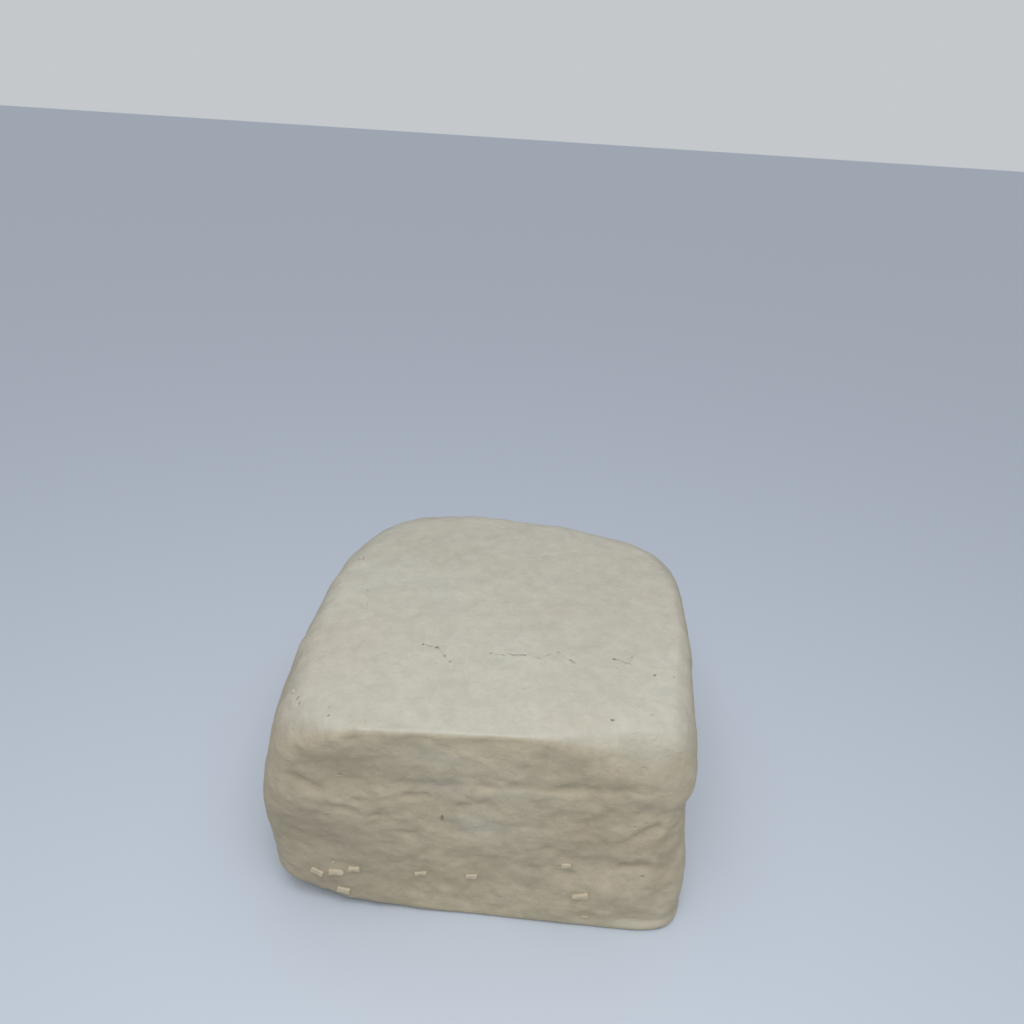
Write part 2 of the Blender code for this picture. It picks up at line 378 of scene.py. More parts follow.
@dataclass(frozen=True)
class Spot:
    """A round or long place on a face.

    Attributes:
        middle: Its place, as (x, y) on the top or (x, z) on the front.
        half: Half its size in the same two directions.
        amount: Its depth, its height or its strength.
    """

    middle: Pair
    half: Pair
    amount: float

    def distance(self, flat: Array) -> Array:
        """Return how far places are from the middle, as shares of the half size."""
        return np.linalg.norm((flat - self.middle) / self.half, axis=1)


def lines(*rows: tuple[int, ...]) -> tuple[Line, ...]:
    """Make lines from rows in hundredths of a millimetre.

    Args:
        *rows: Depth and two half widths, then the way's points, one after another.

    Returns:
        The lines, in metres.
    """
    made = []
    for row in rows:
        depth, above, below, *way = [value / HUNDREDTHS for value in row]
        made.append(Line(depth, above, below, tuple(zip(way[::2], way[1::2]))))
    return tuple(made)


def spots(*rows: tuple[int, ...], unit: float = HUNDREDTHS) -> tuple[Spot, ...]:
    """Make spots from rows in hundredths of a millimetre.

    Args:
        *rows: The middle, half the size and the amount of each.
        unit: How many of an amount's units make one.

    Returns:
        The spots, in metres.
    """
    made = []
    for *sizes, amount in rows:
        x, y, half_x, half_y = [size / HUNDREDTHS for size in sizes]
        made.append(Spot((x, y), (half_x, half_y), amount / unit))
    return tuple(made)


@dataclass
class PressedRelief:
    """All relief of the block: wrinkled sides, creases, skin of the top, cracks, pits."""

    form: BlockForm
    wave_height: float = 0.00022
    lump_height: float = 0.00047
    wrinkle_height: float = 0.00025
    dimple_height: float = 0.00033
    ridge_height: float = 0.00005
    fine_wrinkle_height: float = 0.00011
    pock_depth: float = 0.00012
    drape: float = 0.14
    band_calm: float = 0.62
    flank_calm: float = 0.60
    settle: float = 0.00028
    foot_lip: float = 0.00035
    foot_lip_height: float = 0.0016
    skin_height: float = 0.00064
    wander: float = 0.00022
    raggedness: float = 0.00040
    creases: tuple[Line, ...] = lines(
        (85, 220, 110, -100, 4860, 500, 4840, 1100, 4870, 1700, 4850, 2270, 4900),
        (46, 220, 130, 2270, 4900, 2870, 4990, 3460, 5010, 3910, 5000),
        (40, 160, 120, -1600, 4740, -1220, 4710, -910, 4700),
        (70, 160, 160, -4750, 4600, -4460, 4550, -4250, 4480, -4080, 4430),
        (45, 100, 120, -1980, 4340, -1500, 4350), (60, 100, 140, -580, 4140, -400, 4180, -30, 4320),
        (40, 120, 140, -3910, 3910, -3560, 3790), (60, 120, 140, -3560, 3790, -3130, 3750),
        (50, 120, 120, -2810, 3640, -2400, 3640), (38, 120, 120, -2400, 3660, -1940, 3850),
        (35, 100, 120, -2810, 3370, -2600, 3440, -2300, 3510, -2010, 3410),
        (40, 100, 120, -3150, 4130, -2920, 4160), (65, 90, 110, -2050, 3090, -1720, 3070),
        (70, 120, 200, 2400, 3800, 2680, 3980, 2950, 4210), (45, 140, 200, 3450, 3180, 3750, 3450),
        (80, 160, 200, 3750, 3450, 4020, 3640, 4180, 3740),
        (80, 160, 140, 3540, 2340, 3880, 2390, 4150, 2440),
        (35, 160, 140, 2100, 2500, 2650, 2460, 3300, 2520), (35, 100, 140, 1800, 2000, 2250, 1990),
        (140, 340, 340, 4900, 4050, 4820, 3500, 4720, 3150, 4630, 2750, 4590, 2300),
        (70, 280, 280, 4590, 2300, 4530, 1850, 4480, 1600),
    )
    swells: tuple[Spot, ...] = spots(
        (-3500, 5750, 1400, 420, 32), (-3500, 4850, 1500, 400, -30), (-3300, 4050, 1100, 400, 20),
        (-4400, 3750, 800, 500, 30), (-3900, 2200, 1000, 800, -70), (2600, 4300, 600, 260, 40),
        (2600, 3350, 800, 360, 50), (2800, 2250, 1100, 360, -50), (4000, 2900, 450, 360, 22),
        (3300, 1500, 900, 450, 40), (4000, 4100, 800, 300, -36), (4300, 700, 700, 400, 20),
        (600, 4300, 600, 400, -40),
    )
    cracks: tuple[Line, ...] = lines(
        (26, 20, 20, -1950, -2070, -1720, -2120, -1500, -2220),
        (16, 18, 18, -1500, -2220, -1350, -2470, -1170, -2680),
        (16, 18, 18, -1170, -2680, -890, -2720), (26, 22, 22, -180, -2270, 40, -2320, 270, -2380),
        (36, 25, 25, 270, -2280, 580, -2330, 900, -2360, 1180, -2430),
        (26, 22, 22, 1180, -2400, 1460, -2180, 1620, -2160),
        (28, 22, 22, 1620, -2160, 1800, -2360, 2020, -2500),
        (36, 25, 25, 3020, -2290, 3180, -2330, 3420, -2440),
        (18, 22, 22, 3360, -2400, 3530, -2130, 3680, -1620),
        (10, 18, 18, -3880, 340, -3720, -100, -3640, -850),
    )
    top_pits: tuple[Spot, ...] = spots(
        (-1930, -2070, 40, 36, 34), (-1780, -2110, 30, 30, 26), (-1570, -2140, 62, 44, 44),
        (-1350, -2470, 40, 36, 32), (-1170, -2700, 36, 36, 34), (-1980, -2730, 40, 32, 24),
        (-890, -2720, 30, 28, 16), (-160, -2280, 55, 34, 34), (160, -2510, 30, 30, 20),
        (1590, -2150, 36, 34, 26), (3040, -2290, 58, 42, 46), (3400, -2430, 30, 28, 20),
        (3980, -2820, 46, 46, 42), (4490, -2810, 36, 32, 24), (4040, -2360, 30, 28, 16),
        (2800, -4390, 40, 40, 40), (1610, -3920, 60, 34, 16), (3750, -4190, 60, 50, 16),
        (-3210, 1840, 36, 40, 26), (3710, 1160, 34, 36, 24), (-3830, 240, 36, 36, 18),
        (-3970, -1680, 80, 34, 12), (-4720, -4020, 36, 80, 28), (-4600, -4160, 30, 50, 24),
        (-3790, -4660, 44, 40, 26),
    )
    front_pits: tuple[Spot, ...] = spots(
        (-1080, 3650, 36, 160, 28), (-3540, 4860, 85, 32, 20), (4010, 2110, 52, 44, 22),
        (3620, 3780, 36, 32, 20), (-3890, 3550, 50, 36, 18), (3570, 5750, 34, 30, 12),
    )
    # Painted shade: soft dark spots on the front where shade falls, low on the left and under the
    # band and creases on the right.
    painted_shade_places: tuple[Spot, ...] = spots(
        (-3800, 5300, 1700, 700, 60), (-5000, 3200, 800, 1200, 60), (-3600, 3000, 2000, 1000, 74),
        (-3800, 1100, 2000, 1300, 85), (4000, 4250, 800, 280, 25), (4650, 2900, 260, 800, 30),
        (2850, 2450, 800, 300, 35), (3850, 2500, 450, 140, 30), (3950, 3650, 360, 140, 20),
        (1400, 1800, 1100, 800, 22),
        unit=PERCENT,
    )
    # Painted highlights: pale spots where light catches the band under the top edge, the foot lip,
    # the lower right lobe and the right edge.
    painted_highlight_places: tuple[Spot, ...] = spots(
        (4200, 360, 850, 220, 80), (2800, 260, 800, 120, 30), (4650, 900, 220, 500, 35),
        (300, 5350, 1100, 400, 20), (4400, 5350, 500, 450, 20),
        unit=PERCENT,
    )
    # Wet patches: lower roughness, and a paler, cooler colour that is painted sheen.
    wet_sheen_places: tuple[Spot, ...] = spots(
        (-1500, 5700, 900, 340, 55), (-1150, 4750, 600, 280, 70), (-150, 3500, 600, 340, 100),
        (600, 4600, 500, 260, 50), (3750, 6050, 800, 320, 70),
        unit=PERCENT,
    )

    @staticmethod
    def _hollow(distance: Array, depth: float) -> Array:
        """Return the depth of a hollow with a flat floor for distances in its half sizes."""
        return depth * np.exp(-distance ** 4 - 0.35 * distance ** 2)

    @staticmethod
    def _shifted(flat: Array, place: Array, amount: float, grain: float, seeds: Pair) -> Array:
        """Return flat places shifted by noise, so that a line through them runs unevenly."""
        shift = [fractal_field(place, grain, 2, seed) for seed in seeds]
        return flat + amount * np.stack(shift, axis=1)

    def _with_pits(self, depth: Array, pits: tuple[Spot, ...], flat: Array) -> Array:
        """Return the depth with pits added where they are the deepest."""
        for pit in pits:
            depth = np.maximum(depth, self._hollow(pit.distance(flat), pit.amount))
        return depth

    def top_hollows(self, place: Array) -> Array:
        """Find how deep the cracks and pits of the top are.

        Args:
            place: Places on the top, one row each.

        Returns:
            The depth at each place.
        """
        ragged = self._shifted(place[:, :2], place, self.raggedness, 0.0016, (3.7, 9.1))
        broken = np.clip(0.65 + 1.3 * fractal_field(place, 0.0017, 1, 13.3), 0.0, 1.0)
        depth = np.zeros(len(place))
        for crack in self.cracks:
            hollow = self._hollow(crack.nearness(ragged), crack.depth)
            depth = np.maximum(depth, broken * hollow)
        return self._with_pits(depth, self.top_pits, ragged)

    def front_hollows(self, place: Array) -> Array:
        """Return how deep the pits of the front are at places on it."""
        return self._with_pits(np.zeros(len(place)), self.front_pits, place[:, (0, 2)])

    def crease_depth(self, place: Array) -> Array:
        """Find how deep the cloth's creases are.

        Args:
            place: Places on the front, one row each.

        Returns:
            The depth at each place.
        """
        flat = self._shifted(place[:, (0, 2)], place, self.wander, 0.006, (21.3, 27.9))
        fading = 0.84 + 0.65 * fractal_field(place, 0.0065, 2, 33.1)
        depth = np.zeros(len(place))
        for crease in self.creases:
            depth = np.maximum(depth, crease.depth * np.exp(-crease.nearness(flat) ** 2))
        return depth * np.clip(fading, 0.35, 1.1)

    @staticmethod
    def soft_sum(places: tuple[Spot, ...], flat: Array) -> Array:
        """Return the sum of soft spots at flat places, in the spots' own amounts."""
        total = np.zeros(len(flat))
        for spot in places:
            total += spot.amount * np.exp(-spot.distance(flat) ** 2)
        return total

    def wave(self, place: Array) -> Array:
        """Return the long waves that the solid's sides have too."""
        x, y, z = place.T
        around = np.arctan2(y, x)
        wave = np.sin(210.0 * z + 1.5 * np.sin(3.0 * around + 0.6))
        wave += 0.8 * np.sin(115.0 * z - 5.0 * around + 1.1)
        wave += 0.6 * np.sin(9.0 * around + 60.0 * z)
        return self.wave_height * wave

    def side_relief(self, surface: SurfacePoints) -> Array:
        """Find the wrinkles and lumps of the cloth-pressed sides.

        Args:
            surface: Points of the block's surface.

        Returns:
            How far each point stands out, negative where it is drawn in.
        """
        place = surface.place
        x, _y, z = place.T
        draped = place.copy()
        draped[:, 2] -= self.drape * np.abs(x)
        lumps = fractal_field(draped, (0.012, 0.012, 0.013), 2, 41.0)
        folds = fractal_field(draped, (0.0066, 0.0066, 0.0060), 3, 47.0)
        dimples = fractal_field(place, (0.0056, 0.0056, 0.0052), 2, 49.0)
        ridges = 0.5 - 2.0 * np.abs(fractal_field(draped, (0.011, 0.011, 0.0060), 2, 53.0))
        fine = fractal_field(draped, (0.0027, 0.0027, 0.0022), 2, 59.0)
        pocks = np.maximum(fractal_field(place, 0.0026, 1, 61.0) - 0.25, 0.0)
        below_band = smooth_step((self.form.band_edge(x) + 0.003 - z) / 0.004)
        strength = self.band_calm + (1.0 - self.band_calm) * below_band
        out = (self.wave(place) + self.lump_height * lumps
               + self.dimple_height * dimples
               + strength * (self.wrinkle_height * folds + self.ridge_height * ridges
                             + self.fine_wrinkle_height * fine - self.pock_depth * pocks))
        flank = np.abs(surface.heading[:, 0])
        out *= 1.0 - (1.0 - self.flank_calm) * smooth_step((flank - 0.55) / 0.3)
        out -= self.settle
        side = smooth_step((surface.reach - 0.80) / 0.16)
        clear_of_ends = smooth_step(z / 0.005) * smooth_step((self.form.height - 0.001 - z) / 0.006)
        lip = self.foot_lip * np.exp(-((z - 0.0006) / self.foot_lip_height) ** 2)
        return (out * clear_of_ends + lip) * side

    def top_relief(self, surface: SurfacePoints) -> Array:
        """Return how far the top's slightly uneven skin stands out at each point."""
        place = surface.place
        on_top = smooth_step((place[:, 2] - self.form.height + 0.012) / 0.008)
        broad = fractal_field(place, (0.016, 0.018, 0.016), 2, 67.0)
        fine = fractal_field(place, (0.0055, 0.0064, 0.0055), 2, 71.0)
        return self.skin_height * on_top * (0.5 * broad + 0.5 * fine)


@dataclass
class BlockMesh:
    """Builds the block's fine mesh: a gridded cube, refined in front and round hollows."""

    form: BlockForm
    relief: PressedRelief
    cuts: int = 91
    crowding: float = 0.15
    refine_depth: float = 0.00001
    refine_cuts: tuple[int, ...] = (3, 1)
    full_hollow: float = 0.0005
    full_fold: float = 0.0010
    # Painted shade on the upper roundings of the left and the right side.
    shoulder_shade_amounts: Pair = (0.22, 0.42)

    def _crowded_cube(self) -> bmesh.types.BMesh:
        """Return a gridded cube whose lines draw together towards its edges."""
        cube = bmesh.new()
        bmesh.ops.create_cube(cube, size=2.0)
        bmesh.ops.subdivide_edges(cube, edges=cube.edges, cuts=self.cuts, use_grid_fill=True)
        for vertex in cube.verts:
            vertex.co = [value * (1.0 + self.crowding - self.crowding * value * value)
                         for value in vertex.co]
        front = [edge for edge in cube.edges if all(end.co.y < -0.999 for end in edge.verts)]
        bmesh.ops.subdivide_edges(cube, edges=front, cuts=1, use_grid_fill=True)
        return cube

    def _surface(self, cube: bmesh.types.BMesh) -> SurfacePoints:
        """Return the points of the surface that the cube's vertices move to."""
        return self.form.surface(np.array([vertex.co[:] for vertex in cube.verts]))

    def _hollows(self, surface: SurfacePoints) -> Array:
        """Return how deep the cracks and pits are at each point of the surface."""
        on_top = surface.place[:, 2] > self.form.height - 0.006
        in_front = (surface.heading[:, 1] < -0.6) & (surface.reach > 0.97) & ~on_top
        depth = np.zeros(len(surface.place))
        depth[on_top] = self.relief.top_hollows(surface.place[on_top])
        depth[in_front] = self.relief.front_hollows(surface.place[in_front])
        return depth

    def _refine(self, cube: bmesh.types.BMesh) -> None:
        """Divide the faces that cracks and pits cross, so that they come out sharp."""
        for cuts in self.refine_cuts:
            depth = self._hollows(self._surface(cube))
            cube.verts.ensure_lookup_table()
            deep = {cube.verts[index] for index in np.flatnonzero(depth > self.refine_depth)}
            faces = {face for vertex in deep for face in vertex.link_faces}
            faces |= {near for face in faces for edge in face.edges for near in edge.link_faces}
            edges = {edge for face in faces for edge in face.edges}
            bmesh.ops.subdivide_edges(cube, edges=list(edges), cuts=cuts, use_grid_fill=True)

    def build(self) -> tuple[bpy.types.Mesh, Array]:
        """Build the mesh with its relief.

        Returns:
            The mesh in the form's own frame, and the middle of the smooth form's box.
        """
        cube = self._crowded_cube()
        self._refine(cube)
        surface = self._surface(cube)
        for vertex, place in zip(cube.verts, surface.place):
            vertex.co = place
        mesh = bpy.data.meshes.new("tofu_body")
        cube.to_mesh(mesh)
        cube.free()
        self._press(mesh, surface)
        low, high = surface.place.min(axis=0), surface.place.max(axis=0)
        return mesh, (low + high) / 2

    def _press(self, mesh: bpy.types.Mesh, surface: SurfacePoints) -> None:
        """Move the mesh by its relief, and note hollows and places of painted shade and painted
        highlight on it.

        Args:
            mesh: The smooth mesh.
            surface: Its points, in the mesh's order.
        """
        relief = self.relief
        normals = np.empty(len(mesh.vertices) * 3)
        mesh.vertex_normals.foreach_get("vector", normals)
        normals = normals.reshape(-1, 3)
        flat = surface.place[:, (0, 2)]
        in_front = smooth_step((-surface.heading[:, 1] - 0.45) / 0.3)
        in_front *= smooth_step((surface.reach - 0.85) / 0.1)
        creases = in_front * relief.crease_depth(surface.place)
        swells = in_front * relief.soft_sum(relief.swells, flat)
        side = relief.side_relief(surface)
        hollows = self._hollows(surface)
        out = side + swells + relief.top_relief(surface) - creases - hollows
        clear_of_base = smooth_step(surface.place[:, 2] / 0.0008)
        place = surface.place + normals * (out * clear_of_base)[:, None]
        mesh.vertices.foreach_set("co", place.ravel())
        # Painted shade: darker spots on the front and on the upper roundings, where shade falls.
        painted_shade = in_front * relief.soft_sum(relief.painted_shade_places, flat)
        # Masks for the material: pits, cracks and folds get painted shade, the listed dark and pale
        # spots painted shade and painted highlight, wet places painted sheen and lower roughness,
        # and sides facing outwards a tint that is partly painted light.
        notes = {
            "hollow": hollows / self.full_hollow,
            "fold": (creases - np.minimum(side, 0.0)) / self.full_fold,
            "painted_shade": painted_shade + self._painted_shoulder_shade(normals),
            "painted_highlight": in_front * relief.soft_sum(relief.painted_highlight_places, flat),
            "pressed": smooth_step((0.87 - normals[:, 2]) / 0.60),
            "wet_sheen": in_front * relief.soft_sum(relief.wet_sheen_places, flat),
        }
        for name, values in notes.items():
            attribute = mesh.attributes.new(name, "FLOAT", "POINT")
            attribute.data.foreach_set("value", np.clip(values, 0.0, 1.0).astype(np.float32))
        mesh.shade_smooth()
        mesh.update()

    def _painted_shoulder_shade(self, normals: Array) -> Array:
        """Return how much painted shade the rounded upper edges of the left and right sides get."""
        turned = smooth_step((np.abs(normals[:, 0]) - 0.15) / 0.3)
        upward = smooth_step((normals[:, 2] - 0.2) / 0.3)
        return turned * upward * np.where(normals[:, 0] < 0, *self.shoulder_shade_amounts)


# Finishes


class Curd(Enum):
    """How a piece of curd looks: the skinned block, a tab from its sides, a crumb of it."""

    SKIN = "tofu_skin"
    TAB = "tofu_tab"
    CRUMB = "tofu_crumb"


class NodeSheet:
    """Adds nodes and links to a node tree, one short call each."""

    def __init__(self, tree: bpy.types.NodeTree) -> None:
        """Work on a tree, emptied first."""
        self.tree = tree
        tree.nodes.clear()

    def add(self, kind: str, inputs: dict[str | int, object] | None = None,
            **settings: object) -> bpy.types.Node:
        """Add a node.

        Args:
            kind: The node's type name without its ShaderNode prefix.
            inputs: A constant or a socket for each input that isn't left alone.
            **settings: Properties to set on it.

        Returns:
            The new node.
        """
        node = self.tree.nodes.new(kind if kind.startswith("Node") else "ShaderNode" + kind)
        for name, value in settings.items():
            setattr(node, name, value)
        for name, value in (inputs or {}).items():
            if isinstance(value, Socket):
                self.tree.links.new(value, node.inputs[name])
            else:
                node.inputs[name].default_value = value
        return node

    def attribute(self, name: str) -> Socket:
        """Return the value of a named attribute."""
        return self.add("Attribute", attribute_name=name).outputs["Fac"]

    def noise(self, vector: Socket, scale: float, detail: float, roughness: float = 0.55,
              distortion: float = 0.0) -> Socket:
        """Add a noise texture and return its value."""
        inputs = {"Vector": vector, "Scale": scale, "Detail": detail, "Roughness": roughness,
                  "Distortion": distortion}
        return self.add("TexNoise", inputs).outputs["Fac"]

    def flattened(self, vector: Socket, share: float) -> Socket:
        """Scale a vector along Z, so that marks get flatter by a share, and return it."""
        node = self.add("VectorMath", {0: vector, 1: (1.0, 1.0, share)}, operation="MULTIPLY")
        return node.outputs["Vector"]

    def math(self, operation: str, first: Socket, second: Socket | float) -> Socket:
        """Add a Math node on two values and return its result."""
        return self.add("Math", {0: first, 1: second}, operation=operation).outputs["Value"]

    def times(self, first: Socket, second: Socket | float) -> Socket:
        """Multiply a value and return the product."""
        return self.math("MULTIPLY", first, second)

    def spread(self, value: Socket, low: float, high: float, to_low: float = 0.0,
               to_high: float = 1.0) -> Socket:
        """Map a value's range to another, clamped, and return it."""
        inputs = {"Value": value, "From Min": low, "From Max": high, "To Min": to_low,
                  "To Max": to_high}
        return self.add("MapRange", inputs).outputs["Result"]

    def blend(self, factor: Socket, first: Colour | Socket, second: Colour | Socket,
              mode: str = "MIX") -> Socket:
        """Mix two colours and return the result."""
        inputs = {0: factor}
        for number, value in ((6, first), (7, second)):
            inputs[number] = value if isinstance(value, Socket) else (*value, 1.0)
        return self.add("Mix", inputs, data_type="RGBA", blend_type=mode).outputs[2]


class CurdGroups:
    """Node groups that all curd shares, each built when it is first asked for."""

    @staticmethod
    def _open(name: str, inputs: tuple[str, ...],
              outputs: tuple[str, ...]) -> tuple[NodeSheet, bpy.types.Node]:
        """Start a group.

        Args:
            name: Its name.
            inputs: Names of the values that it takes beside Vector.
            outputs: Names of the values that it gives.

        Returns:
            Its sheet and its input node.
        """
        tree = bpy.data.node_groups.new(name, "ShaderNodeTree")
        face = tree.interface
        face.new_socket(name="Vector", in_out="INPUT", socket_type="NodeSocketVector")
        for way, names in (("INPUT", inputs), ("OUTPUT", outputs)):
            for each in names:
                face.new_socket(name=each, in_out=way, socket_type="NodeSocketFloat")
        sheet = NodeSheet(tree)
        return sheet, sheet.add("NodeGroupInput")

    @cached_property
    def mottle(self) -> bpy.types.ShaderNodeTree:
        """Build the cloudy change of tone and warmth through a curd."""
        sheet, given = self._open("curd_mottle", (), ("Tone", "Warmth", "Specks", "Cloud"))
        place = given.outputs["Vector"]
        tone = sheet.noise(sheet.flattened(place, 1.8), 60.0, 3.0, 0.5, 0.4)
        warmth = sheet.noise(sheet.flattened(place, 1.5), 28.0, 2.0, 0.5, 0.2)
        specks = sheet.noise(place, 620.0, 2.0, 0.6)
        cloud = sheet.noise(place, 250.0, 3.0, 0.66, 0.3)
        sheet.add("NodeGroupOutput", {
            "Tone": sheet.spread(tone, 0.30, 0.70), "Warmth": sheet.spread(warmth, 0.36, 0.64),
            "Specks": sheet.spread(specks, 0.62, 0.80), "Cloud": sheet.spread(cloud, 0.30, 0.70)})
        return sheet.tree

    @cached_property
    def grain(self) -> bpy.types.ShaderNodeTree:
        """Build the height of a curd's grain, from fine wrinkles to sparse pores."""
        sheet, given = self._open("curd_grain", ("Roughened",), ("Height",))
        place = given.outputs["Vector"]
        wrinkles = sheet.noise(sheet.flattened(place, 1.3), 300.0, 4.0, 0.62, 0.4)
        grain = sheet.noise(place, 1500.0, 3.0, 0.65)
        pores = sheet.add("TexVoronoi", {"Scale": 520.0, "Vector": place}, feature="F1")
        pored = sheet.spread(pores.outputs["Distance"], 0.10, 0.34)
        sparse = sheet.spread(sheet.noise(place, 240.0, 1.0), 0.52, 0.60, 1.0, 0.0)
        pored = sheet.math("MAXIMUM", pored, sparse)
        rough = sheet.times(wrinkles, given.outputs["Roughened"])
        height = sheet.math("ADD", sheet.times(rough, 0.9), sheet.times(grain, 0.16))
        height = sheet.math("ADD", height, sheet.times(pored, 0.22))
        sheet.add("NodeGroupOutput", {"Height": height})
        return sheet.tree


GROUPS = CurdGroups()


@dataclass(frozen=True)
class CurdFinish:
    """Material of tofu: moist pale curd, cloudy in tone, with a low soft sheen."""

    kind: Curd
    # Top colours, and warmer sides: partly the curd's own colour, partly painted light, the top's
    # paler, cooler tone standing in for the cool sheen that it catches.
    pale: Colour = (0.697, 0.675, 0.577)
    deep: Colour = (0.661, 0.634, 0.536)
    side_pale: Colour = (0.726, 0.650, 0.483)
    side_deep: Colour = (0.675, 0.600, 0.438)
    rosy: Colour = (0.650, 0.565, 0.460)
    # Painted sheen of wet places.
    wet_sheen: Colour = (0.672, 0.664, 0.578)
    clouded: Colour = (0.835, 0.829, 0.817)
    # Painted shade.
    painted_shade: Colour = (0.418, 0.366, 0.272)
    # Painted highlight.
    painted_highlight: Colour = (0.860, 0.800, 0.640)
    # The curd's own dark specks, and painted shade in folds.
    speck_and_fold_shade: Colour = (0.330, 0.260, 0.170)
    # Painted shade in pits and cracks.
    pit: Colour = (0.120, 0.100, 0.065)
    rosy_share: float = 0.28
    speck_share: float = 0.16
    wet_sheen_share: float = 0.55
    wet_gloss: float = 0.12
    cloud_on_top: float = 0.70
    grain_on_top: float = 1.35
    grain_off_skin: float = 0.5
    bump: float = 0.00036
    roughness: Pair = (0.42, 0.58)
    depth_of_light: float = 0.12

    def material(self) -> bpy.types.Material:
        """Build the material and return it."""
        made = bpy.data.materials.new(self.kind.value)
        made.use_nodes = True
        sheet = NodeSheet(made.node_tree)
        place = sheet.add("TexCoord").outputs["Object"]
        mottle = sheet.add("Group", {"Vector": place}, node_tree=GROUPS.mottle).outputs
        tone, cloud = mottle["Tone"], mottle["Cloud"]
        colour = sheet.blend(tone, self.deep, self.pale)
        # Sides facing outwards get a warmer tint than the top: partly the curd's own colour, partly
        # painted sheen on the top.
        if self.kind is Curd.SKIN:
            pressed = sheet.attribute("pressed")
            side = sheet.blend(tone, self.side_deep, self.side_pale)
            colour = sheet.blend(pressed, colour, side)
            cloud = sheet.times(cloud, sheet.spread(pressed, 0.0, 1.0, self.cloud_on_top, 1.0))
        colour = sheet.blend(sheet.times(mottle["Warmth"], self.rosy_share), colour, self.rosy)
        colour = sheet.blend(cloud, colour, self.clouded, "MULTIPLY")
        colour = sheet.blend(sheet.times(mottle["Specks"], self.speck_share), colour, self.speck_and_fold_shade)
        gloss = sheet.spread(tone, 0.0, 1.0, *self.roughness)
        roughened = self.grain_off_skin
        if self.kind is Curd.SKIN:
            # Wet places: painted sheen in the colour, and lower roughness in the gloss.
            wet_sheen = sheet.attribute("wet_sheen")
            colour = sheet.blend(sheet.times(wet_sheen, self.wet_sheen_share), colour, self.wet_sheen)
            colour = self._shade_hollows(sheet, colour)
            gloss = sheet.math("SUBTRACT", gloss, sheet.times(wet_sheen, self.wet_gloss))
            roughened = sheet.spread(pressed, 0.0, 1.0, self.grain_on_top, 1.0)
        grain = sheet.add("Group", {"Vector": place, "Roughened": roughened},
                          node_tree=GROUPS.grain)
        bump = sheet.add("Bump", {"Strength": 0.85, "Distance": self.bump,
                                  "Height": grain.outputs["Height"]})
        shader = sheet.add("BsdfPrincipled", {
            "Base Color": colour, "Roughness": gloss, "Normal": bump.outputs["Normal"],
            "Subsurface Weight": self.depth_of_light, "Subsurface Radius": (1.0, 0.75, 0.45),
            "Subsurface Scale": 0.0020, "Specular IOR Level": 0.42, "IOR": 1.40})
        sheet.add("OutputMaterial", {"Surface": shader.outputs["BSDF"]})
        return made

    def _shade_hollows(self, sheet: NodeSheet, colour: Socket) -> Socket:
        """Paint shade into folds a little and into pits and cracks a lot, paint shade and
        highlights at listed places, and return the colour.
        """
        # Folds, pits and cracks and the listed dark spots get painted shade, the listed pale spots
        # painted highlight.
        for name, limits, tint in (("fold", (0.20, 1.0, 0.0, 0.22), self.speck_and_fold_shade),
                                   ("painted_shade", (0.0, 1.0, 0.0, 0.50), self.painted_shade),
                                   ("painted_highlight", (0.0, 1.0, 0.0, 0.85), self.painted_highlight),
                                   ("hollow", (0.06, 0.90, 0.0, 0.85), self.pit)):
            share = sheet.spread(sheet.attribute(name), *limits)
            colour = sheet.blend(share, colour, tint)
        return colour


SKIN_FINISH = CurdFinish(Curd.SKIN)
TAB_FINISH = CurdFinish(Curd.TAB, pale=(0.770, 0.684, 0.520), deep=(0.710, 0.624, 0.464),
                        rosy=(0.740, 0.655, 0.500), bump=0.0002, depth_of_light=0.0)
CRUMB_FINISH = CurdFinish(Curd.CRUMB, pale=(0.700, 0.665, 0.565), deep=(0.650, 0.610, 0.510),
                          rosy=(0.660, 0.600, 0.500), bump=0.0002, depth_of_light=0.0)


# The pieces


def smooth_mesh(name: str, shape: bmesh.types.BMesh) -> bpy.types.Mesh:
    """Turn a shape into a smooth mesh, free the shape, and return the mesh."""
    mesh = bpy.data.meshes.new(name)
    shape.to_mesh(mesh)
    shape.free()
    mesh.shade_smooth()
    return mesh


def add_piece(name: str, mesh: bpy.types.Mesh, finish: CurdFinish) -> bpy.types.Object:
    """Show a mesh as a piece of the model.

    Args:
        name: The piece's name.
        mesh: Its mesh.
        finish: What it is made of.

    Returns:
        The piece's object, riding on the block's body.
    """
    piece = bpy.data.objects.new(name, mesh)
    bpy.context.scene.collection.objects.link(piece)
    mesh.materials.append(finish.material())
    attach(piece, BODY)
    return piece


@dataclass
class TofuBody:
    """The block itself."""

    form: BlockForm

    def build(self) -> bpy.types.Object:
        """Model the block, put it where the solid is, and dress it.

        Returns:
            The block's object.
        """
        mesh, middle = BlockMesh(self.form, PressedRelief(self.form)).build()
        low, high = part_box(CAD_NODE)
        back = max(vertex.co.y for vertex in mesh.vertices)
        to_frame = Vector(((low.x + high.x) / 2 - middle[0], high.y - back, 0.0))
        mesh.transform(Matrix.Translation(to_frame))
        body = add_piece("tofu_body", mesh, SKIN_FINISH)
        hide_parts(CAD_NODE)
        return body


